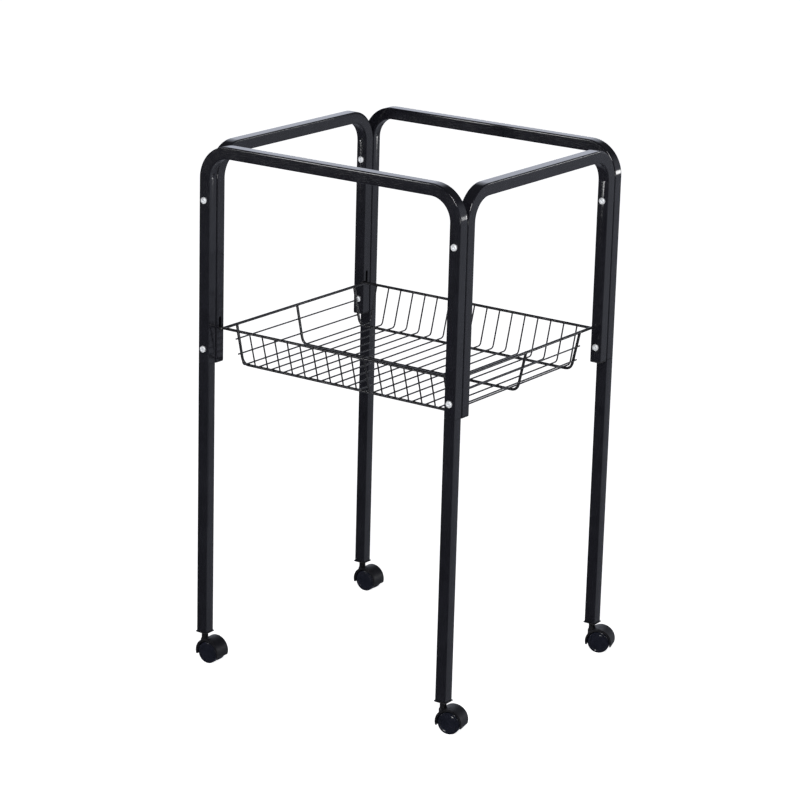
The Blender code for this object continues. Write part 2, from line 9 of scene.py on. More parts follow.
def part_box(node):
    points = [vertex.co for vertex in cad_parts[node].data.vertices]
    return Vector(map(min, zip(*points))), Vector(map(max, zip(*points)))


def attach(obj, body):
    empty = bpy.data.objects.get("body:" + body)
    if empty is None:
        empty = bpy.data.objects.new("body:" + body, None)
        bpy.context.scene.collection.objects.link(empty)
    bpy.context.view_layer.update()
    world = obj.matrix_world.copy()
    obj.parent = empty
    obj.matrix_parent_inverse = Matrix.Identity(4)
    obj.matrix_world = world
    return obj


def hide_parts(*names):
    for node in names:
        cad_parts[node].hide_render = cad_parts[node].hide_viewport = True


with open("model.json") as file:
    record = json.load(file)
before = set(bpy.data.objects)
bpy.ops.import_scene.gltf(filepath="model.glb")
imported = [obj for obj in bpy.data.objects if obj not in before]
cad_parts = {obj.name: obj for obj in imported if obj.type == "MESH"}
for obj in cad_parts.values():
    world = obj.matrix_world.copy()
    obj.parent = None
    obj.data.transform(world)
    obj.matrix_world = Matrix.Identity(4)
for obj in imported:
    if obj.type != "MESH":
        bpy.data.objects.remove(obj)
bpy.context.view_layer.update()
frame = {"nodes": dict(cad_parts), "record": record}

# Fine shapes of the stand, in metres. Their places come from the CAD nodes' boxes and joints; these
# are the stock sizes that no box shows. A crease is the angle in degrees past which an edge is sharp.
FIT_GAP = 0.0003
MERGE_DISTANCE = 1e-6
CUT_MARGIN = 0.010
CREASE = 32

# Tube, its bends and the slots for the basket's hooks
WALL = 0.0012
TUBE_CORNER = 0.0016
CORNER_STEPS = 6
FLAT_POINTS = 11
TUBE_CREASE = 28
BEND_RADIUS = 0.040
BEND_STEPS = 48
BEND_DENT = 0.0009
DENT_RIPPLE = 0.35
DENT_WAVES = 3
DIMPLE = 0.0013
DIMPLE_SPREAD = 0.0019
DIMPLE_TURNS = (0.09, 0.91)
SLOT_WIDTH = 0.0052
SLOT_HEIGHT = 0.0200
SLOT_STEPS = 12

# Lower legs: a rolled top edge, and a spigot whose bore opens out below the seam
LEG_ROLL = 0.0004
SPIGOT_BORE_CORNER = 0.0004
SWAGE_START = 0.003
SWAGE_END = 0.006

# End caps and caster sockets. An underside is (rise, inset, corner) for each ring from the bottom
PLUG_CORNER = 0.0008
EDGE_BREAK = 0.0003
CAP_LIP = 0.002
CAP_UNDERSIDE = ((0, 0.0012, 0.0012), (0.0003, 0.0005, TUBE_CORNER), (0.0009, 0, TUBE_CORNER))
FLANGE_HEIGHT = 0.0016
FLANGE_CORNER = 0.0024
FLANGE_UNDERSIDE = ((0, 0.0014, 0.0022), (0.0004, 0.0004, FLANGE_CORNER),
                    (0.0009, 0, FLANGE_CORNER))

# M5 button-head bolts with a 3 mm hex socket
BOLT_STEPS = 48
BOLT_CREASE = 25
SHANK_R = 0.0024
TIP_CHAMFER = 0.0005
HEAD_R = 0.00475
HEAD_RIM = 0.0006
HEAD_FLAT_R = 0.0022
HEAD_HEIGHT = 0.00275
HEAD_BREAK = 0.0002
DOME_STEPS = 10
KEY_FLATS = 0.003
KEY_DEPTH = 0.0015
LEAD_IN = 0.0003
LEAD_IN_DEPTH = 0.0004
LEAD_IN_OVER = 0.0002
LEAD_IN_STEPS = 32

# Hex nuts
NUT_FLATS = 0.008
NUT_HEIGHT = 0.004
NUT_FACE_SHARE = 0.96
NUT_CHAMFER_SLOPE = 0.55
NUT_LENS_OVER = 0.0002
NUT_BORE_R = 0.0027
NUT_BORE_STEPS = 32
COUNTERSINK_R = 0.0034
COUNTERSINK_DEPTH = 0.0006
COUNTERSINK_OVER = 0.001
NUT_EDGE = 0.00012

# Wire basket. A bead is the half size of a drop of weld metal along each axis
WIRE_R = 0.0020
WIRE_RESOLUTION = 6
THIN_WIRE_R = 0.0011
THIN_WIRE_RESOLUTION = 4
WIRE_CREASE = 40
BASKET_DROP = 0.056
RIM_CLEARANCE = 0.0005
END_INSET = 0.0045
SIDE_LEAN = 0.012
END_LEAN = 0.015
HOOK_DROP = 0.0090
HOOK_BEND = 0.0032
HOOK_STEPS = 6
CROSS_INSET = 0.030
CROSS_BEND = 0.010
THIN_WIRES = 17
THIN_MARGIN = 1.0
THIN_BEND = 0.005
U_BEND_STEPS = 8
SIDE_DROPS = (0.021, 0.042)
WELD = 0.0003
RIM_BEAD = (0.0026, 0.0026, 0.0018)
RIM_BEAD_INSET = 0.0012
CROSS_BEAD = (0.0022, 0.0030, 0.0022)
CROSS_BEAD_INSET = 0.0004
FLOOR_BEAD = (0.0017, 0.0015, 0.0007)
FLOOR_BEAD_RISE = 0.0002
END_BEAD = (0.0016, 0.0009, 0.0014)
END_BEAD_INSET = 0.0001
SIDE_BEAD = (0.0008, 0.0016, 0.0016)

# Caster hoods. Heights on the neck are over the axle
HOOD_R = 0.0196
HOOD_RISE = 0.0010
HOOD_INNER_R = 0.0173
HOOD_HALF = 0.0125
HOOD_LIP = radians(16.5)
HOOD_STEPS = 64
HOOD_EDGE = 0.00028
HOOD_EDGE_ANGLE = 40
BAY_STEPS = 128
WEB_HALF = 0.0015
HUB_R = 0.006
HUB_OPENING = radians(30)
HUB_STEPS = 16
NECK_R = 0.0047
NECK_STEPS = 48
NECK_CHAMFER = 0.0005
NECK_TAPER_TOP = 0.0185
NECK_TAPER_FOOT = 0.0165
COLLAR = 0.0012
COLLAR_TOP = 0.0150
TAPER_SHARE = 0.3
HOLE_STEPS = 32
STEM_HOLE_R = 0.0033
STEM_HOLE_DEPTH = 0.022
AXLE_HOLE_R = 0.0023
AXLE_HOLE_LENGTH = 0.009

# Caster wheels
WHEEL_R = 0.0160
WHEEL_WIDTH = 0.0100
WHEEL_START = 0.0022
WHEEL_STEPS = 72
WHEEL_CREASE = 24
WHEEL_EDGE = 0.0012
OUTER_EDGE_TURNS = (0.2, 0.5, 0.8, 1.1, 1.4)
INNER_EDGE_TURNS = (0.3, 0.7, 1.1, 1.45)
WHEEL_DOME = 0.0009
WHEEL_DOME_STEPS = 8
WHEEL_DOME_SHARE = 0.70
WHEEL_FACE_DROP = 0.0008
WHEEL_STEP = 0.0002
WHEEL_TREAD_INSET = 0.0018
WHEEL_BACK_INSET = 0.0022
WHEEL_BACK_HOLLOW = 0.0018
HOLLOW_OUTER_SHARE = 0.80
HOLLOW_INNER_SHARE = 0.42
WHEEL_HUB_SHARE = 0.38
WHEEL_BORE_DEPTH = 0.0068
# The rim ring's groove and band: (share of the radius, depth under the face)
WHEEL_RING = ((0.74, 0.0006), (0.77, 0.0007), (0.80, 0.0003), (0.83, 0), (0.88, 0))

# The colour sockets of a Mix node, whose names it shares with its other kinds
MIX_A = 6
MIX_B = 7
MIX_RESULT = 2

CORNERS = ("front_left", "front_right", "back_left", "back_right")

# What the gloss reflects: dim in front, brighter behind, a wide lit wall low at the back left
FRONT_LEVEL = 0.075
BACK_LEVEL = 0.38
TOP_LEVEL = 0.06
GROUND_SHARE = 0.62
WALL_LEVEL = 0.66
WALL_TOWARDS = (-0.56, 0.78, 0.28)
COOL_TINT = (0.83, 0.87, 1.0)
# Where each level gives way to the next, along a direction's Y, Z, Z, Z and wall component
SIDE_RANGE = (-0.45, 0.70)
GROUND_RANGE = (-0.45, -0.05)
HORIZON_RANGE = (0.0, 0.16)
TOP_RANGE = (0.20, 0.50)
WALL_RANGE = (0.90, 0.985)
WHITE = (1, 1, 1)
FLOOR_GLOW = 0.95
FLOOR_HALF = 40

# Each lamp: name, place, height of the point that it faces on the middle line, width, height, watts
LAMPS = (
    ("key", (1.5, -2.3, 2.6), 0.45, 0.7, 1.4, 60),
    ("low_front", (2.1, -2.3, 0.48), 0.65, 0.5, 0.45, 9),
    ("low_left", (-1.9, -2.9, 0.50), 0.65, 0.4, 0.4, 6),
    ("low_back", (2.4, 3.35, 0.52), 0.65, 0.5, 0.40, 6),
)

CAMERA_YAW = radians(34.83)
CAMERA_PITCH = radians(16.553)
CAMERA_ROLL = radians(1.535)
CAMERA_FROM_MIDDLE = (2.2209, -3.2080, 1.5424)
SENSOR = 36.0
LENS = 130.07
CLIP_END = 100


# ---------------------------------------------------------------- materials

def new_material(name, colour, roughness, metallic=0.0):
    made = bpy.data.materials.new(name)
    made.use_nodes = True
    nodes = made.node_tree.nodes
    shader = nodes["Principled BSDF"]
    shader.inputs["Base Color"].default_value = (*colour, 1)
    shader.inputs["Roughness"].default_value = roughness
    shader.inputs["Metallic"].default_value = metallic
    return made, nodes, made.node_tree.links, shader


def noise(nodes, links, scale, detail, rough=0.55, stretch=(1, 1, 1)):
    """Noise in object space, in metres."""
    place = nodes.new("ShaderNodeTexCoord")
    mapping = nodes.new("ShaderNodeMapping")
    mapping.inputs["Scale"].default_value = stretch
    texture = nodes.new("ShaderNodeTexNoise")
    texture.inputs["Scale"].default_value = scale
    texture.inputs["Detail"].default_value = detail
    texture.inputs["Roughness"].default_value = rough
    links.new(place.outputs["Object"], mapping.inputs["Vector"])
    links.new(mapping.outputs["Vector"], texture.inputs["Vector"])
    return texture.outputs["Fac"]


def remap(nodes, links, value, low_in, high_in, low_out, high_out):
    ramp = nodes.new("ShaderNodeMapRange")
    ramp.inputs["From Min"].default_value = low_in
    ramp.inputs["From Max"].default_value = high_in
    ramp.inputs["To Min"].default_value = low_out
    ramp.inputs["To Max"].default_value = high_out
    links.new(value, ramp.inputs["Value"])
    return ramp.outputs["Result"]


def colour_between(nodes, links, value, first, second):
    mix = nodes.new("ShaderNodeMix")
    mix.data_type = "RGBA"
    mix.inputs[MIX_A].default_value = (*first, 1)
    mix.inputs[MIX_B].default_value = (*second, 1)
    links.new(value, mix.inputs["Factor"])
    return mix.outputs[MIX_RESULT]


def bump(nodes, links, shader, layers):
    """layers are (height output, strength, distance in metres), laid one over the other."""
    normal = None
    for height, strength, distance in layers:
        node = nodes.new("ShaderNodeBump")
        node.inputs["Strength"].default_value = strength
        node.inputs["Distance"].default_value = distance
        links.new(height, node.inputs["Height"])
        if normal is not None:
            links.new(normal, node.inputs["Normal"])
        normal = node.outputs["Normal"]
    links.new(normal, shader.inputs["Normal"])


def patches(nodes, links, scale, detail, span, result=(0, 1)):
    """Noise of which the values in span are stretched over result."""
    return remap(nodes, links, noise(nodes, links, scale, detail), *span, *result)


def edge_mask(nodes, links, radius):
    """1 where the surface turns sharply, 0 on flats, broken up by noise."""
    geometry = nodes.new("ShaderNodeNewGeometry")
    bevel = nodes.new("ShaderNodeBevel")
    bevel.samples = 4
    bevel.inputs["Radius"].default_value = radius
    dot = nodes.new("ShaderNodeVectorMath")
    dot.operation = "DOT_PRODUCT"
    links.new(bevel.outputs["Normal"], dot.inputs[0])
    links.new(geometry.outputs["Normal"], dot.inputs[1])
    turn = remap(nodes, links, dot.outputs["Value"], 0.985, 0.90, 0.0, 1.0)
    broken = patches(nodes, links, 900, 3, (0.45, 0.65))
    product = nodes.new("ShaderNodeMath")
    product.operation = "MULTIPLY"
    links.new(turn, product.inputs[0])
    links.new(broken, product.inputs[1])
    return product.outputs["Value"]


def wear_and_edge_highlight(nodes, links, shade, colour, radius):
    """shade, lighter on sharp edges: partly rubbed wear, partly a painted highlight along the edges.
    """
    mix = nodes.new("ShaderNodeMix")
    mix.data_type = "RGBA"
    mix.inputs[MIX_B].default_value = (*colour, 1)
    links.new(edge_mask(nodes, links, radius), mix.inputs["Factor"])
    links.new(shade, mix.inputs[MIX_A])
    return mix.outputs[MIX_RESULT]


def gloss_paint():
    """Glossy black powder coat: slow orange peel, dust nibs, and lighter edges that are partly a
    thinner coat where worn and partly a painted edge highlight.
    """
    made, nodes, links, shader = new_material("gloss_black_paint", (0.010, 0.010, 0.012), 0.16)
    shader.inputs["IOR"].default_value = 1.52
    shader.inputs["Coat Weight"].default_value = 0.45
    shader.inputs["Coat Roughness"].default_value = 0.06
    cloud = patches(nodes, links, 34, 5, (0.35, 0.7))
    shade = colour_between(nodes, links, cloud, (0.0054, 0.0054, 0.0078), (0.0090, 0.0092, 0.0126))
    # Lighter grey on sharp edges: partly wear of the coat, partly a painted highlight along the
    # edges.
    worn_and_highlit = wear_and_edge_highlight(nodes, links, shade, (0.036, 0.036, 0.040), 0.0006)
    links.new(worn_and_highlit, shader.inputs["Base Color"])
    rough = patches(nodes, links, 120, 4, (0.3, 0.75), (0.09, 0.18))
    links.new(rough, shader.inputs["Roughness"])
    peel = noise(nodes, links, 420, 2, 0.4)
    nibs = remap(nodes, links, noise(nodes, links, 1500, 2, 0.6), 0.70, 0.80, 0, 1)
    bump(nodes, links, shader, [(peel, 0.03, 0.00012), (nibs, 0.03, 0.00004)])
    return made


def wire_coating():
    """Dipped semi-gloss black on drawn wire: soft sags and small runs along the wire."""
    made, nodes, links, shader = new_material("dipped_black_wire", (0.012, 0.012, 0.014), 0.28)
    shader.inputs["IOR"].default_value = 1.55
    shader.inputs["Coat Weight"].default_value = 0.35
    shader.inputs["Coat Roughness"].default_value = 0.12
    cloud = patches(nodes, links, 60, 4, (0.35, 0.7))
    shade = colour_between(nodes, links, cloud, (0.009, 0.009, 0.010), (0.019, 0.019, 0.022))
    links.new(shade, shader.inputs["Base Color"])
    rough = patches(nodes, links, 200, 3, (0.3, 0.75), (0.20, 0.40))
    links.new(rough, shader.inputs["Roughness"])
    sags = noise(nodes, links, 240, 3)
    grain = noise(nodes, links, 1800, 2)
    bump(nodes, links, shader, [(sags, 0.35, 0.00030), (grain, 0.15, 0.00008)])
    return made


def zinc_plate():
    """Bright zinc: pale clouds, lighter edges that are partly wear and partly a painted highlight,
    fine grain and tool marks.
    """
    made, nodes, links, shader = new_material("zinc_plate", (0.92, 0.93, 0.95), 0.45, 0.5)
    cloud = patches(nodes, links, 260, 4, (0.35, 0.7))
    shade = colour_between(nodes, links, cloud, (0.93, 0.95, 0.98), (0.84, 0.85, 0.86))
    # Lighter on sharp edges: partly wear, partly a painted highlight along the edges.
    worn_and_highlit = wear_and_edge_highlight(nodes, links, shade, (0.97, 0.97, 0.98), 0.0004)
    links.new(worn_and_highlit, shader.inputs["Base Color"])
    rough = patches(nodes, links, 900, 3, (0.3, 0.7), (0.38, 0.56))
    links.new(rough, shader.inputs["Roughness"])
    grain = noise(nodes, links, 1400, 3)
    marks = noise(nodes, links, 700, 2, 0.5, (1, 12, 1))
    bump(nodes, links, shader, [(grain, 0.25, 0.00008), (marks, 0.12, 0.00006)])
    return made


def plain_steel():
    """Plain steel with darker clouds and fine level bands."""
    made, nodes, links, shader = new_material("plain_steel", (0.50, 0.50, 0.51), 0.34, 1.0)
    cloud = patches(nodes, links, 300, 4, (0.35, 0.7))
    shade = colour_between(nodes, links, cloud, (0.56, 0.56, 0.57), (0.38, 0.36, 0.34))
    links.new(shade, shader.inputs["Base Color"])
    rough = patches(nodes, links, 800, 3, (0.3, 0.7), (0.26, 0.46))
    links.new(rough, shader.inputs["Roughness"])
    bands = noise(nodes, links, 1600, 2, 0.5, (1, 1, 10))
    bump(nodes, links, shader, [(bands, 0.2, 0.00006)])
    return made


def moulded_plastic(name, dark, light, rough_low, rough_high, grain_scale):
    """Black moulding: fine spark grain, flow clouds and lighter edges that are partly scuffs and
    partly a painted highlight.
    """
    made, nodes, links, shader = new_material(name, dark, rough_low)
    shader.inputs["IOR"].default_value = 1.42
    cloud = patches(nodes, links, 90, 4, (0.35, 0.7))
    shade = colour_between(nodes, links, cloud, dark, light)
    # Lighter on sharp edges: partly scuffs, partly a painted highlight along the edges.
    worn_and_highlit = wear_and_edge_highlight(nodes, links, shade, (0.045, 0.045, 0.050), 0.0005)
    links.new(worn_and_highlit, shader.inputs["Base Color"])
    rough = patches(nodes, links, 350, 3, (0.3, 0.7), (rough_low, rough_high))
    links.new(rough, shader.inputs["Roughness"])
    grain = noise(nodes, links, grain_scale, 2, 0.6)
    flow = noise(nodes, links, 60, 2)
    bump(nodes, links, shader, [(grain, 0.30, 0.00006), (flow, 0.10, 0.00020)])
    return made


PAINT = gloss_paint()
COATING = wire_coating()
ZINC = zinc_plate()
STEEL = plain_steel()
CAP_PLASTIC = moulded_plastic("cap_plastic", (0.014, 0.014, 0.015), (0.024, 0.024, 0.026),
                              0.38, 0.52, 2600)
HOOD_PLASTIC = moulded_plastic("hood_plastic", (0.005, 0.005, 0.007), (0.010, 0.010, 0.013),
                               0.34, 0.50, 2200)
WHEEL_PLASTIC = moulded_plastic("wheel_plastic", (0.005, 0.006, 0.011), (0.009, 0.010, 0.017),
                                0.14, 0.24, 3200)
LOOKS = {
    "frame_paint": PAINT, "basket_coating": COATING, "zinc": ZINC, "steel": STEEL,
    "black_plastic": CAP_PLASTIC, "caster_plastic": HOOD_PLASTIC, "wheel_plastic": WHEEL_PLASTIC,
}


# ---------------------------------------------------------------- shape helpers

def link(made):
    bpy.context.scene.collection.objects.link(made)
    return made


def mesh_object(name, mesh, look):
    made = link(bpy.data.objects.new(name, mesh))
    mesh.materials.clear()
    mesh.materials.append(look)
    return made


def smooth(mesh, angle=CREASE):
    mesh.shade_smooth()
    mesh.set_sharp_from_angle(angle=radians(angle))


def finished(source):
    """The evaluated mesh of an object, welded and facing outwards; the object is removed."""
    bpy.context.view_layer.update()
    graph = bpy.context.evaluated_depsgraph_get()
    mesh = bpy.data.meshes.new_from_object(source.evaluated_get(graph))
    work = bmesh.new()
    work.from_mesh(mesh)
    bmesh.ops.remove_doubles(work, verts=work.verts, dist=MERGE_DISTANCE)
    bmesh.ops.recalc_face_normals(work, faces=work.faces)
    work.to_mesh(mesh)
    work.free()
    bpy.data.objects.remove(source, do_unlink=True)
    return mesh


def from_bmesh(name, work):
    mesh = bpy.data.meshes.new(name)
    bmesh.ops.recalc_face_normals(work, faces=work.faces)
    work.to_mesh(mesh)
    work.free()
    return mesh


def cylinder(name, radius, length, steps):
    """A cylinder along Z from 0 to length."""
    work = bmesh.new()
    bmesh.ops.create_cone(work, cap_ends=True, segments=steps, radius1=radius, radius2=radius,
                          depth=length, matrix=Matrix.Translation((0, 0, length / 2)))
    return from_bmesh(name, work)


def turned(name, profile, steps):
    """A solid of revolution about Z from a profile of (radius, height), closed by the axis."""
    work = bmesh.new()
    rings = []
    for radius, height in profile:
        if radius == 0:
            rings.append([work.verts.new((0, 0, height))])
        else:
            turns = [2 * pi * step / steps for step in range(steps)]
            rings.append([work.verts.new((radius * cos(t), radius * sin(t), height))
                          for t in turns])
    pairs = list(zip(rings, rings[1:]))
    if profile[0][0] != 0:
        pairs.append((rings[-1], rings[0]))
    for first, second in pairs:
        for step in range(steps):
            after = (step + 1) % steps
            corners = [first[step % len(first)], first[after % len(first)],
                       second[after % len(second)], second[step % len(second)]]
            corners = [c for i, c in enumerate(corners) if c not in corners[:i]]
            if len(corners) > 2:
                work.faces.new(corners)
    return from_bmesh(name, work)


def arc(centre, radius, start, end, steps):
    turns = [start + (end - start) * step / steps for step in range(steps + 1)]
    return [(centre[0] + radius * cos(turn), centre[1] + radius * sin(turn)) for turn in turns]


def round_square(half, corner, flat_points=0):
    """Outline of a square with rounded corners, counter-clockwise; flats may be divided."""
    inner = half - corner
    points = []
    for quarter, (sx, sy) in enumerate(((1, 1), (-1, 1), (-1, -1), (1, -1))):
        start = quarter * pi / 2
        points += arc((sx * inner, sy * inner), corner, start, start + pi / 2, CORNER_STEPS)
        begin = Vector(points[-1])
        turn = Vector((cos(start + pi), sin(start + pi)))
        for index in range(1, flat_points + 1):
            point = begin + turn * (2 * inner * index / (flat_points + 1))
            points.append((point.x, point.y))
    return points


def square_loft(name, rings, closed=False):
    """Rounded-square sections (height, half size, corner) joined in order."""
    work = bmesh.new()
    loops = [[work.verts.new((x, y, height)) for x, y in round_square(half, corner)]
             for height, half, corner in rings]
    pairs = list(zip(loops, loops[1:]))
    if closed:
        pairs.append((loops[-1], loops[0]))
    else:
        work.faces.new(loops[0])
        work.faces.new(loops[-1])
    for first, second in pairs:
        for index in range(len(first)):
            after = (index + 1) % len(first)
            work.faces.new((first[index], first[after], second[after], second[index]))
    return from_bmesh(name, work)


def curve(name, points, closed=False, flat=False):
    """A poly curve through points, which are pairs when it is flat."""
    data = bpy.data.curves.new(name, "CURVE")
    data.dimensions = "2D" if flat else "3D"
    spline = data.splines.new("POLY")
    spline.points.add(len(points) - 1)
    for slot, point in zip(spline.points, points):
        slot.co = (*point, 0, 1) if flat else (*point, 1)
    spline.use_cyclic_u = closed
    return link(bpy.data.objects.new(name, data))


def boolean(target, tool, operation):
    modifier = target.modifiers.new(operation.lower(), "BOOLEAN")
    modifier.operation = operation
    modifier.object = tool
    modifier.solver = "EXACT"


def cut(name, mesh, tools):
    """mesh after each (tool mesh, operation) in turn."""
    base = link(bpy.data.objects.new(name, mesh))
    helpers = []
    for tool, operation in tools:
        helper = link(bpy.data.objects.new(name + "_tool", tool))
        helpers.append(helper)
        boolean(base, helper, operation)
    result = finished(base)
    for helper in helpers:
        bpy.data.objects.remove(helper, do_unlink=True)
    return result


def round_edges(made, width, angle):
    bevel = made.modifiers.new("edges", "BEVEL")
    bevel.width = width
    bevel.segments = 2
    bevel.limit_method = "ANGLE"
    bevel.angle_limit = radians(angle)


def fit(made, node, body):
    """made stands for a CAD node, which it hides, and rides on its body."""
    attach(made, body)
    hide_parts(node)


def across_y(x, z, start_y):
    """Turns a shape that stands on Z=0 to lie along +Y from start_y."""
    return Matrix.Translation((x, start_y, z)) @ Matrix.Rotation(-pi / 2, 4, "X")


def middle(node):
    first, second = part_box(node)
    return (Vector(first) + Vector(second)) / 2


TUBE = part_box("front_hoop")[1][1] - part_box("front_hoop")[0][1]
HALF_TUBE = TUBE / 2
BORE = HALF_TUBE - WALL


# ---------------------------------------------------------------- hoops of square tube

def press_bends(mesh, half_span, crown):
    """The bending die leaves each bend's inner wall hollow and rippled, with a pit at each end."""
    centre = Vector((half_span - BEND_RADIUS, crown - BEND_RADIUS))
    inner_radius = BEND_RADIUS - HALF_TUBE
    for side in (-1, 1):
        for vertex in mesh.vertices:
            offset = Vector((vertex.co.x * side, vertex.co.y)) - centre
            past_bend = min(offset.x, offset.y) < -10 * MERGE_DISTANCE
            radius = offset.length
            if past_bend or radius > inner_radius + FIT_GAP:
                continue
            turn = offset.angle(Vector((1, 0))) / (pi / 2)
            across = 1 - min(1.0, abs(vertex.co.z) / (HALF_TUBE - TUBE_CORNER)) ** 2
            swell = sin(pi * turn) ** 2
            ripple = 1 + DENT_RIPPLE * sin(turn * DENT_WAVES * 2 * pi)
            push = BEND_DENT * swell * across * ripple
            for pit in DIMPLE_TURNS:
                along = (turn - pit) * pi / 2 * inner_radius
                away = (along / DIMPLE_SPREAD) ** 2 + (vertex.co.z / DIMPLE_SPREAD) ** 2
                push += DIMPLE * exp(-away / 2)
            moved = centre + offset * ((radius + push) / radius)
            vertex.co.x = moved.x * side
            vertex.co.y = moved.y


def make_hoop(node, across_x):
    """An inverted U of tube round the CAD hoop's box, with slots for the basket's hooks."""
    first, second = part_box(node)
    centre = middle(node)
    half_span = (second[0] - first[0] if across_x else second[1] - first[1]) / 2 - HALF_TUBE
    crown = second[2] - HALF_TUBE
    bend_x, bend_z = half_span - BEND_RADIUS, crown - BEND_RADIUS
    leg_middle = (first[2] + bend_z) / 2
    run = [(-half_span, first[2]), (-half_span, leg_middle)]
    run += arc((-bend_x, bend_z), BEND_RADIUS, pi, pi / 2, BEND_STEPS)
    run += arc((bend_x, bend_z), BEND_RADIUS, pi / 2, 0, BEND_STEPS)
    run += [(half_span, leg_middle), (half_span, first[2])]
    rail = curve(node + "_tube", run, flat=True)
    outline = round_square(HALF_TUBE, TUBE_CORNER, FLAT_POINTS)
    section = curve(node + "_section", outline, closed=True, flat=True)
    rail.data.bevel_mode = "OBJECT"
    rail.data.bevel_object = section
    mesh = finished(rail)
    bpy.data.objects.remove(section, do_unlink=True)
    press_bends(mesh, half_span, crown)
    shell = link(bpy.data.objects.new(node + "_wall", mesh))
    wall = shell.modifiers.new("wall", "SOLIDIFY")
    wall.thickness = WALL
    wall.offset = -1
    wall.use_even_offset = True
    mesh = finished(shell)
    turn = Matrix.Identity(4) if across_x else Matrix.Rotation(pi / 2, 4, "Z")
    mesh.transform(Matrix.Translation((centre.x, centre.y, 0)) @ turn
                   @ Matrix.Rotation(pi / 2, 4, "X"))
    if not across_x:
        mesh = cut(node, mesh, [(slot_tool(centre.x, y), "DIFFERENCE")
                                for y in (first[1] + HALF_TUBE, second[1] - HALF_TUBE)])
    smooth(mesh, TUBE_CREASE)
    fit(mesh_object(node + "_tube", mesh, PAINT), node, "stand")


def slot_tool(leg_x, leg_y):
    """A round-ended slot through the leg's wall on the side that faces the basket."""
    rim_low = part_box("wire_basket")[1][2] - 2 * WIRE_R - FIT_GAP
    inward = 1 if leg_x < middle("wire_basket").x else -1
    half, end = SLOT_WIDTH / 2, (SLOT_HEIGHT - SLOT_WIDTH) / 2
    outline = arc((0, end), half, 0, pi, SLOT_STEPS)
    outline += arc((0, -end), half, pi, 2 * pi, SLOT_STEPS)
    flat = curve("slot", outline, closed=True, flat=True)
    flat.data.fill_mode = "BOTH"
    flat.data.extrude = 2 * WALL
    mesh = finished(flat)
    place = Matrix.Translation((leg_x + inward * HALF_TUBE, leg_y, rim_low + SLOT_HEIGHT / 2))
    mesh.transform(place @ Matrix.Rotation(pi / 2, 4, "Z") @ Matrix.Rotation(pi / 2, 4, "X"))
    return mesh


# ---------------------------------------------------------------- legs, caps and fasteners

def make_leg(corner):
    """The CAD leg with rounded corners, a swaged spigot and a slightly rolled top edge."""
    node = "lower_leg_" + corner
    first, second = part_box(node)
    centre = middle(node)
    foot, top = first[2], second[2]
    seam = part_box("front_hoop")[0][2]
    shoulder = seam - FIT_GAP
    spigot = BORE - FIT_GAP
    inner_corner = TUBE_CORNER - WALL
    rings = [(foot, HALF_TUBE - LEG_ROLL / 2, TUBE_CORNER),
             (foot + LEG_ROLL / 2, HALF_TUBE, TUBE_CORNER),
             (shoulder - LEG_ROLL, HALF_TUBE, TUBE_CORNER),
             (shoulder, HALF_TUBE - LEG_ROLL, TUBE_CORNER - LEG_ROLL / 2),
             (shoulder, spigot, inner_corner), (top, spigot, inner_corner),
             (top, spigot - WALL, SPIGOT_BORE_CORNER),
             (seam - SWAGE_START, spigot - WALL, SPIGOT_BORE_CORNER),
             (seam - SWAGE_END, BORE, inner_corner), (foot, BORE, inner_corner)]
    mesh = square_loft(node, rings, closed=True)
    mesh.transform(Matrix.Translation((centre.x, centre.y, 0)))
    smooth(mesh, TUBE_CREASE)
    fit(mesh_object(node + "_tube", mesh, PAINT), node, "stand")


def plug_mesh(node, half, lip, corner, underside):
    """A flange with a rounded underside up to lip, and the plug above it inside the tube."""
    first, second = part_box(node)
    foot, top = first[2], second[2]
    plug = BORE - FIT_GAP
    rings = [(foot + rise, half - inset, radius) for rise, inset, radius in underside]
    rings += [(lip - EDGE_BREAK, half, corner), (lip, half - EDGE_BREAK, corner),
              (lip, plug, PLUG_CORNER), (top, plug, PLUG_CORNER)]
    return square_loft(node, rings)


def make_cap(corner):
    """Plastic plug under a leg of a side hoop."""
    node = "end_cap_" + corner
    centre = middle(node)
    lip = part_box(node)[0][2] + CAP_LIP
    mesh = plug_mesh(node, HALF_TUBE, lip, TUBE_CORNER, CAP_UNDERSIDE)
    mesh.transform(Matrix.Translation((centre.x, centre.y, 0)))
    smooth(mesh)
    fit(mesh_object(node + "_moulding", mesh, CAP_PLASTIC), node, "stand")


def make_bolt(corner, level):
    """Button-head bolt with a chamfered hex socket and a chamfered tip."""
    node = f"{level}_bolt_{corner}"
    first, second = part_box(node)
    centre = middle(node)
    length = second[1] - first[1]
    profile = [(0, length), (SHANK_R - TIP_CHAMFER, length), (SHANK_R, length - TIP_CHAMFER),
               (SHANK_R, HEAD_HEIGHT + HEAD_BREAK), (HEAD_R - HEAD_BREAK, HEAD_HEIGHT),
               (HEAD_R, HEAD_HEIGHT - HEAD_BREAK)]
    for step in range(DOME_STEPS + 1):
        turn = step / DOME_STEPS * pi / 2
        profile.append((HEAD_FLAT_R + (HEAD_R - HEAD_FLAT_R) * cos(turn),
                        (HEAD_HEIGHT - HEAD_RIM) * (1 - sin(turn))))
    solid = turned(node, profile + [(0, 0)], BOLT_STEPS)
    key_tip = KEY_FLATS / 2 / cos(pi / 6)
    socket = cylinder("socket", key_tip, 2 * KEY_DEPTH, 6)
    socket.transform(Matrix.Translation((0, 0, -KEY_DEPTH)))
    lead_in = turned("lead_in", [
        (0, LEAD_IN_DEPTH), (key_tip - LEAD_IN, LEAD_IN_DEPTH),
        (key_tip + LEAD_IN, -LEAD_IN_OVER), (0, -LEAD_IN_OVER)], LEAD_IN_STEPS)
    mesh = cut(node, solid, [(socket, "DIFFERENCE"), (lead_in, "DIFFERENCE")])
    mesh.transform(across_y(centre.x, centre.z, first[1]))
    smooth(mesh, BOLT_CREASE)
    fit(mesh_object(node + "_plated", mesh, ZINC), node, "stand")


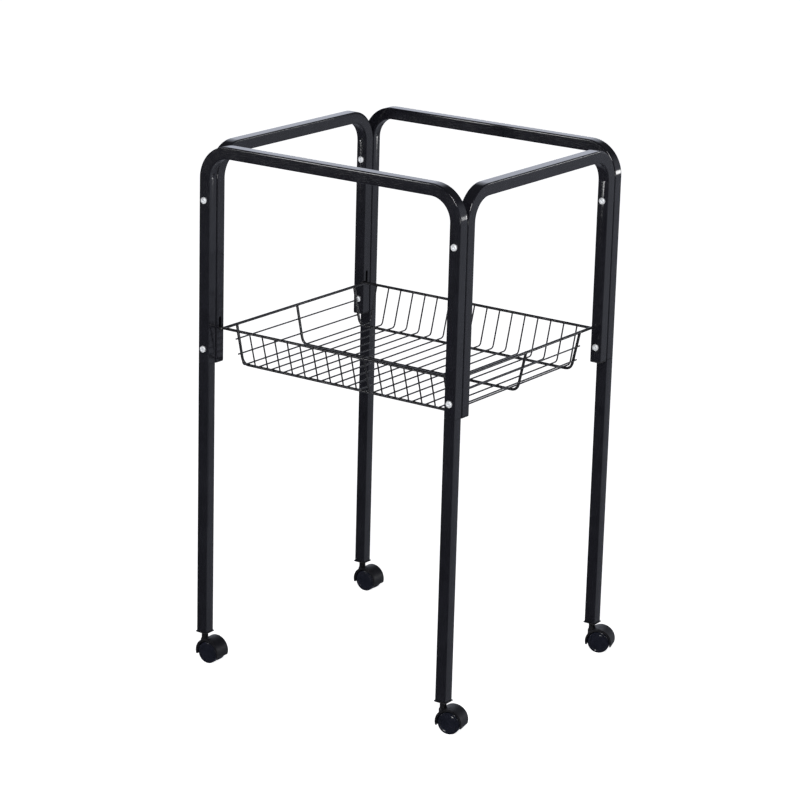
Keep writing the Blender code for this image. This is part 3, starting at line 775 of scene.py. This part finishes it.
def make_nut(corner):
    """Hex nut with its corners turned off at both ends and a countersunk bore."""
    node = "lower_nut_" + corner
    centre = middle(node)
    tip = NUT_FLATS / 2 / cos(pi / 6)
    face = NUT_FLATS / 2 * NUT_FACE_SHARE
    drop = (tip - face) * NUT_CHAMFER_SLOPE
    over = tip + NUT_LENS_OVER
    lens = turned("lens", [(0, 0), (face, 0), (over, drop), (over, NUT_HEIGHT - drop),
                           (face, NUT_HEIGHT), (0, NUT_HEIGHT)], BOLT_STEPS)
    bore = turned("bore", [
        (COUNTERSINK_R, NUT_HEIGHT + COUNTERSINK_OVER),
        (NUT_BORE_R, NUT_HEIGHT - COUNTERSINK_DEPTH), (NUT_BORE_R, COUNTERSINK_DEPTH),
        (COUNTERSINK_R, -COUNTERSINK_OVER), (0, -COUNTERSINK_OVER),
        (0, NUT_HEIGHT + COUNTERSINK_OVER)], NUT_BORE_STEPS)
    blank = cylinder(node, tip, NUT_HEIGHT, 6)
    mesh = cut(node, blank, [(lens, "INTERSECT"), (bore, "DIFFERENCE")])
    mesh.transform(across_y(centre.x, centre.z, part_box(node)[0][1]))
    smooth(mesh, BOLT_CREASE)
    made = mesh_object(node + "_plated", mesh, ZINC)
    round_edges(made, NUT_EDGE, BOLT_CREASE)
    fit(made, node, "stand")


# ---------------------------------------------------------------- wire basket

BASKET_LOW, BASKET_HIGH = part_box("wire_basket")
BASKET_MIDDLE = middle("wire_basket")
HOOK_X = (BASKET_HIGH[0] - BASKET_LOW[0]) / 2 - WIRE_R
HOOK_Y = (BASKET_HIGH[1] - BASKET_LOW[1]) / 2 - WIRE_R
HOOP_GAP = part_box("right_hoop")[0][0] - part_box("left_hoop")[1][0]
RIM_X = HOOP_GAP / 2 - RIM_CLEARANCE - WIRE_R
RIM_Y = HOOK_Y - END_INSET
RIM_Z = BASKET_HIGH[2] - WIRE_R
BOTTOM_Z = RIM_Z - BASKET_DROP
CROSS_PLACES = (-RIM_Y + CROSS_INSET, 0, RIM_Y - CROSS_INSET)


def wire(name, points, radius, resolution):
    """Round wire through points that are measured from the basket's middle."""
    made = curve(name, [(BASKET_MIDDLE.x + x, BASKET_MIDDLE.y + y, z) for x, y, z in points])
    made.data.bevel_depth = radius
    made.data.bevel_resolution = resolution
    made.data.use_fill_caps = True
    return finished(made)


def thick_wire(name, points):
    return wire(name, points, WIRE_R, WIRE_RESOLUTION)


def thin_wire(name, points):
    return wire(name, points, THIN_WIRE_R, THIN_WIRE_RESOLUTION)


def u_shape(half_top, half_bottom, bottom_z, bend):
    """Points (across, height) down one wall from the rim, across the bottom and up the other."""
    lean = Vector((half_bottom - half_top, bottom_z - RIM_Z)).normalized()
    corner = Vector((half_bottom, bottom_z))
    start = corner - lean * bend
    end = corner - Vector((bend, 0))
    half = [Vector((half_top, RIM_Z))]
    for step in range(U_BEND_STEPS + 1):
        t = step / U_BEND_STEPS
        half.append(start.lerp(corner, t).lerp(corner.lerp(end, t), t))
    return [(p.x, p.y) for p in half] + [(-p.x, p.y) for p in reversed(half)]


def joined(name, meshes):
    work = bmesh.new()
    for mesh in meshes:
        work.from_mesh(mesh)
        bpy.data.meshes.remove(mesh)
    made = mesh_object(name, from_bmesh(name, work), COATING)
    smooth(made.data, WIRE_CREASE)
    return made


def weld_bead(x, y, z, half_sizes):
    """A squashed drop of weld metal, placed from the basket's middle."""
    place = Matrix.Translation((BASKET_MIDDLE.x + x, BASKET_MIDDLE.y + y, z))
    work = bmesh.new()
    bmesh.ops.create_icosphere(work, subdivisions=2, radius=1.0,
                               matrix=place @ Matrix.Diagonal((*half_sizes, 1)))
    return from_bmesh("bead", work)


def rim_wires():
    """Side wires that turn outwards into the legs' slots and down behind the wall; end wires."""
    wires, beads = [], []
    turns = [step / HOOK_STEPS * pi / 2 for step in range(HOOK_STEPS + 1)]
    path = [(HOOK_X, HOOK_Y, RIM_Z - HOOK_DROP)]
    path += [(HOOK_X - HOOK_BEND * (1 - cos(t)), HOOK_Y, RIM_Z - HOOK_BEND * (1 - sin(t)))
             for t in turns]
    path += [(RIM_X + HOOK_BEND * (1 - sin(t)), HOOK_Y - HOOK_BEND * (1 - cos(t)), RIM_Z)
             for t in turns]
    line = path + [(x, -y, z) for x, y, z in reversed(path)]
    for side in (-1, 1):
        wires.append(thick_wire("rim_side", [(side * x, y, z) for x, y, z in line]))
    for side in (-1, 1):
        y = side * RIM_Y
        wires.append(thick_wire("rim_end", [(-RIM_X, y, RIM_Z), (RIM_X, y, RIM_Z)]))
        for end in (-1, 1):
            beads.append(weld_bead(end * (RIM_X - RIM_BEAD_INSET), y - side * RIM_BEAD_INSET,
                                   RIM_Z, RIM_BEAD))
    return wires, beads


def cross_wires():
    """Thick U wires across the width."""
    wires, beads = [], []
    shape = u_shape(RIM_X, RIM_X - SIDE_LEAN, BOTTOM_Z, CROSS_BEND)
    for y in CROSS_PLACES:
        wires.append(thick_wire("cross", [(across, y, z) for across, z in shape]))
        for side in (-1, 1):
            beads.append(weld_bead(side * (RIM_X - CROSS_BEAD_INSET), y, RIM_Z, CROSS_BEAD))
    return wires, beads


def thin_wires():
    """Thin U wires along the depth, lying on the thick ones and ending inside the rim."""
    wires, beads = [], []
    thin_z = BOTTOM_Z + WIRE_R + THIN_WIRE_R - WELD
    pitch = 2 * RIM_X / (THIN_WIRES - 1 + 2 * THIN_MARGIN)
    inside = RIM_Y - WIRE_R - THIN_WIRE_R + WELD
    shape = u_shape(inside, inside - END_LEAN, thin_z, THIN_BEND)
    for index in range(THIN_WIRES):
        x = (index - (THIN_WIRES - 1) / 2) * pitch
        wires.append(thin_wire("thin", [(x, across, z) for across, z in shape]))
        for y in CROSS_PLACES:
            beads.append(weld_bead(x, y, thin_z - THIN_WIRE_R + FLOOR_BEAD_RISE, FLOOR_BEAD))
        for side in (-1, 1):
            beads.append(weld_bead(x, side * (inside + THIN_WIRE_R - END_BEAD_INSET), RIM_Z,
                                   END_BEAD))
    return wires, beads


def side_wires():
    """Thin wires along the side walls, welded outside the thick ones."""
    wires, beads = [], []
    run = RIM_Y - CROSS_INSET + 2 * WIRE_R
    for side in (-1, 1):
        for drop in SIDE_DROPS:
            lean = SIDE_LEAN * drop / BASKET_DROP
            x = side * (RIM_X - lean + WIRE_R + THIN_WIRE_R - WELD)
            z = RIM_Z - drop
            wires.append(thin_wire("side", [(x, -run, z), (x, run, z)]))
            for y in CROSS_PLACES:
                beads.append(weld_bead(x - side * THIN_WIRE_R, y, z, SIDE_BEAD))
    return wires, beads


def make_basket():
    rim, rim_beads = rim_wires()
    cross, cross_beads = cross_wires()
    thin, thin_beads = thin_wires()
    side, side_beads = side_wires()
    fit(joined("basket_rim", rim), "wire_basket", "stand")
    beads = rim_beads + cross_beads + thin_beads + side_beads
    for name, meshes in (("basket_cross_wires", cross), ("basket_thin_wires", thin + side),
                         ("basket_welds", beads)):
        made = joined(name, meshes)
        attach(made, "stand")


# ---------------------------------------------------------------- casters

def joint(name):
    return next(j for j in frame["record"]["behaviour"]["joints"] if j["name"] == name)


def hood_mesh(trail, axle_z, neck_top, stem_foot):
    """Hood, web and neck in one moulding about the stem's axis; the neck flares to a collar."""
    upper = arc((trail, axle_z + HOOD_RISE), HOOD_R, -HOOD_LIP, pi + HOOD_LIP, HOOD_STEPS)
    lip_drop = HOOD_R * sin(HOOD_LIP) - HOOD_RISE
    lip_z = axle_z - lip_drop
    reach = sqrt(HOOD_INNER_R ** 2 - lip_drop ** 2)
    below = arc((trail, axle_z), HUB_R, pi + HUB_OPENING, 2 * pi - HUB_OPENING, HUB_STEPS)
    outline = upper + [(trail - reach, lip_z)] + below + [(trail + reach, lip_z)]
    flat = curve("hood", outline, closed=True, flat=True)
    flat.data.fill_mode = "BOTH"
    flat.data.extrude = HOOD_HALF
    solid = finished(flat)
    solid.transform(Matrix.Rotation(pi / 2, 4, "X"))
    foot = axle_z + HUB_R
    collar_r = NECK_R + COLLAR
    neck = turned("neck", [
        (0, neck_top), (NECK_R - NECK_CHAMFER, neck_top), (NECK_R, neck_top - NECK_CHAMFER),
        (NECK_R, axle_z + NECK_TAPER_TOP),
        (NECK_R + COLLAR * TAPER_SHARE, axle_z + NECK_TAPER_FOOT),
        (collar_r, axle_z + COLLAR_TOP), (collar_r, foot), (0, foot)], NECK_STEPS)
    tools = [(neck, "UNION")]
    for start in (WEB_HALF, -WEB_HALF - HOOD_HALF):
        bay = cylinder("bay", HOOD_INNER_R, HOOD_HALF, BAY_STEPS)
        bay.transform(across_y(trail, axle_z, start))
        tools.append((bay, "DIFFERENCE"))
    stem = cylinder("stem_hole", STEM_HOLE_R, STEM_HOLE_DEPTH, HOLE_STEPS)
    stem.transform(Matrix.Translation((0, 0, stem_foot - FIT_GAP)))
    axle = cylinder("axle_hole", AXLE_HOLE_R, AXLE_HOLE_LENGTH, HOLE_STEPS)
    axle.transform(across_y(trail, axle_z, -AXLE_HOLE_LENGTH / 2))
    return cut("hood", solid, tools + [(stem, "DIFFERENCE"), (axle, "DIFFERENCE")])


def wheel_visual():
    """Smooth domed disc with a rim ring and rounded edges; axis on Z, outer face up."""
    face = WHEEL_WIDTH - WHEEL_FACE_DROP
    shoulder = WHEEL_R - WHEEL_EDGE
    profile = [(0, WHEEL_WIDTH)]
    for step in range(1, WHEEL_DOME_STEPS + 1):
        t = step / WHEEL_DOME_STEPS
        profile.append((t * WHEEL_DOME_SHARE * WHEEL_R, WHEEL_WIDTH - WHEEL_DOME * t * t))
    profile += [(share * WHEEL_R, face - drop) for share, drop in WHEEL_RING]
    profile += [(shoulder + WHEEL_EDGE * sin(t), face - WHEEL_STEP - WHEEL_EDGE * (1 - cos(t)))
                for t in OUTER_EDGE_TURNS]
    profile += [(WHEEL_R, face - WHEEL_TREAD_INSET), (WHEEL_R, WHEEL_BACK_INSET)]
    profile += [(shoulder + WHEEL_EDGE * cos(t), WHEEL_STEP + WHEEL_EDGE * (1 - sin(t)))
                for t in INNER_EDGE_TURNS]
    hollow_outer = HOLLOW_OUTER_SHARE * WHEEL_R
    profile += [(hollow_outer, WHEEL_STEP), (hollow_outer, WHEEL_BACK_HOLLOW),
                (HOLLOW_INNER_SHARE * WHEEL_R, WHEEL_BACK_HOLLOW), (WHEEL_HUB_SHARE * WHEEL_R, 0),
                (AXLE_HOLE_R, 0), (AXLE_HOLE_R, WHEEL_BORE_DEPTH), (0, WHEEL_BORE_DEPTH)]
    return turned("wheel", profile, WHEEL_STEPS)


def make_caster(corner):
    """Hood and two wheels, turned about the stem to where the caster trails, and the socket."""
    swivel = joint(corner + "_swivel")
    roll = joint(corner + "_wheel_a_roll")
    stem = Vector((swivel["pos_m"][0], swivel["pos_m"][1], 0))
    axle_z = roll["pos_m"][2]
    axis = Vector(roll["axis"])
    trail = (Vector((roll["pos_m"][0], roll["pos_m"][1], 0)) - stem).length
    turn = Matrix(((axis.y, axis.x, 0, 0), (-axis.x, axis.y, 0, 0), (0, 0, 1, 0), (0, 0, 0, 1)))
    place = Matrix.Translation(stem) @ turn

    neck_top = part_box("caster_body_" + corner)[1][2]
    stem_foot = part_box("caster_stem_" + corner)[0][2]
    mesh = hood_mesh(trail, axle_z, neck_top, stem_foot)
    mesh.transform(place)
    smooth(mesh)
    hood = mesh_object("caster_hood_" + corner, mesh, HOOD_PLASTIC)
    round_edges(hood, HOOD_EDGE, HOOD_EDGE_ANGLE)
    fit(hood, "caster_body_" + corner, corner + "_caster")

    for key, side in (("a", -1), ("b", 1)):
        flip = Matrix.Identity(4) if side == 1 else Matrix.Rotation(pi, 4, "Z")
        mesh = wheel_visual()
        mesh.transform(place @ flip @ across_y(trail * side, axle_z, WHEEL_START))
        smooth(mesh, WHEEL_CREASE)
        wheel = mesh_object(f"caster_disc_{key}_{corner}", mesh, WHEEL_PLASTIC)
        fit(wheel, f"caster_wheel_{key}_{corner}", f"{corner}_wheel_{key}")

    make_socket(corner)


def make_socket(corner):
    """Plastic insert under the leg, with a rounded flange and a bore for the stem."""
    node = "caster_socket_" + corner
    first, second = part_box(node)
    centre = middle(node)
    half = (second[0] - first[0]) / 2
    solid = plug_mesh(node, half, first[2] + FLANGE_HEIGHT, FLANGE_CORNER, FLANGE_UNDERSIDE)
    bore = cylinder("bore", STEM_HOLE_R, second[2] - first[2] + 2 * CUT_MARGIN, HOLE_STEPS)
    bore.transform(Matrix.Translation((0, 0, first[2] - CUT_MARGIN)))
    mesh = cut(node, solid, [(bore, "DIFFERENCE")])
    mesh.transform(Matrix.Translation((centre.x, centre.y, 0)))
    smooth(mesh)
    fit(mesh_object(node + "_moulding", mesh, CAP_PLASTIC), node, "stand")


# ---------------------------------------------------------------- floor, light and camera

def area_light(name, place, target_height, width, height, watts):
    data = bpy.data.lights.new(name, "AREA")
    data.shape = "RECTANGLE"
    data.size = width
    data.size_y = height
    data.energy = watts
    lamp = link(bpy.data.objects.new(name, data))
    lamp.location = place
    towards = Vector((0, 0, target_height)) - Vector(place)
    lamp.rotation_euler = towards.to_track_quat("-Z", "Y").to_euler()
    lamp.visible_camera = False


def make_floor():
    """A wide pale floor that glows, so that it comes out an even white without shadows."""
    work = bmesh.new()
    bmesh.ops.create_grid(work, x_segments=8, y_segments=8, size=FLOOR_HALF)
    mesh = from_bmesh("floor", work)
    floor, nodes, links, shader = new_material("pale_floor", (0.90, 0.90, 0.90), 0.9)
    shader.inputs["Specular IOR Level"].default_value = 0.0
    shader.inputs["Emission Color"].default_value = (*WHITE, 1)
    shader.inputs["Emission Strength"].default_value = FLOOR_GLOW
    grain = remap(nodes, links, noise(nodes, links, 3, 3), 0.3, 0.7, 0.86, 0.94)
    links.new(grain, shader.inputs["Roughness"])
    made = mesh_object("floor", mesh, floor)
    made.visible_glossy = False


def make_world():
    """A studio's surroundings by direction; the camera itself sees plain white."""
    world = bpy.data.worlds.new("studio")
    bpy.context.scene.world = world
    world.use_nodes = True
    nodes, links = world.node_tree.nodes, world.node_tree.links
    background = nodes["Background"]
    place = nodes.new("ShaderNodeTexCoord")
    split = nodes.new("ShaderNodeSeparateXYZ")
    links.new(place.outputs["Generated"], split.inputs["Vector"])

    def smooth_range(value, first, last, start, end):
        node = nodes.new("ShaderNodeMapRange")
        node.interpolation_type = "SMOOTHSTEP"
        node.inputs["From Min"].default_value = first
        node.inputs["From Max"].default_value = last
        node.inputs["To Min"].default_value = start
        node.inputs["To Max"].default_value = end
        links.new(value, node.inputs["Value"])
        return node.outputs["Result"]

    def maths(operation, first, second):
        node = nodes.new("ShaderNodeMath")
        node.operation = operation
        for slot, value in zip(node.inputs, (first, second)):
            if isinstance(value, float):
                slot.default_value = value
            else:
                links.new(value, slot)
        return node.outputs["Value"]

    side = smooth_range(split.outputs["Y"], *SIDE_RANGE, FRONT_LEVEL, BACK_LEVEL)
    sunk = smooth_range(split.outputs["Z"], *GROUND_RANGE, GROUND_SHARE, 1.0)
    side = maths("MULTIPLY", side, sunk)
    lift = smooth_range(split.outputs["Z"], *TOP_RANGE, 0.0, 1.0)
    above = maths("MULTIPLY", maths("SUBTRACT", TOP_LEVEL, side), lift)
    towards = nodes.new("ShaderNodeVectorMath")
    towards.operation = "DOT_PRODUCT"
    towards.inputs[1].default_value = Vector(WALL_TOWARDS).normalized()
    links.new(place.outputs["Generated"], towards.inputs[0])
    wall = smooth_range(towards.outputs["Value"], *WALL_RANGE, 0.0, WALL_LEVEL)
    over_floor = smooth_range(split.outputs["Z"], *HORIZON_RANGE, 0.0, 1.0)
    level = maths("ADD", maths("ADD", side, above), maths("MULTIPLY", wall, over_floor))
    paths = nodes.new("ShaderNodeLightPath")
    seen = nodes.new("ShaderNodeMix")
    seen.data_type = "FLOAT"
    links.new(paths.outputs["Is Camera Ray"], seen.inputs["Factor"])
    links.new(level, seen.inputs["A"])
    seen.inputs["B"].default_value = 1.0
    links.new(seen.outputs["Result"], background.inputs["Strength"])
    tint = colour_between(nodes, links, paths.outputs["Is Camera Ray"], COOL_TINT, WHITE)
    links.new(tint, background.inputs["Color"])


def make_camera():
    data = bpy.data.cameras.new("camera")
    data.sensor_width = SENSOR
    data.lens = LENS
    data.clip_end = CLIP_END
    camera = link(bpy.data.objects.new("camera", data))
    forward = Vector((-sin(CAMERA_YAW) * cos(CAMERA_PITCH), cos(CAMERA_YAW) * cos(CAMERA_PITCH),
                      -sin(CAMERA_PITCH)))
    level = Vector((cos(CAMERA_YAW), sin(CAMERA_YAW), 0))
    above = level.cross(forward)
    right = level * cos(CAMERA_ROLL) + above * sin(CAMERA_ROLL)
    up = above * cos(CAMERA_ROLL) - level * sin(CAMERA_ROLL)
    turn = Matrix((right, up, -forward)).transposed().to_4x4()
    centre = (Vector(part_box("front_hoop")[0]) + Vector(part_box("back_hoop")[1])) / 2
    place = Vector((centre.x, centre.y, 0)) + Vector(CAMERA_FROM_MIDDLE)
    camera.matrix_world = Matrix.Translation(place) @ turn
    bpy.context.scene.camera = camera


# ---------------------------------------------------------------- build

slots = {entry["node"]: entry["material_slot"] for entry in frame["record"]["subparts"]}
for node, made in frame["nodes"].items():
    made.data.materials.clear()
    made.data.materials.append(LOOKS[slots[node]])

for node, across_x in (("front_hoop", True), ("back_hoop", True),
                       ("left_hoop", False), ("right_hoop", False)):
    make_hoop(node, across_x)
for corner in CORNERS:
    make_leg(corner)
    make_cap(corner)
    make_nut(corner)
    for level in ("upper", "lower"):
        make_bolt(corner, level)
    make_caster(corner)
make_basket()

make_camera()
make_floor()
make_world()
for lamp in LAMPS:
    area_light(*lamp)
bpy.context.scene.view_settings.view_transform = "Standard"
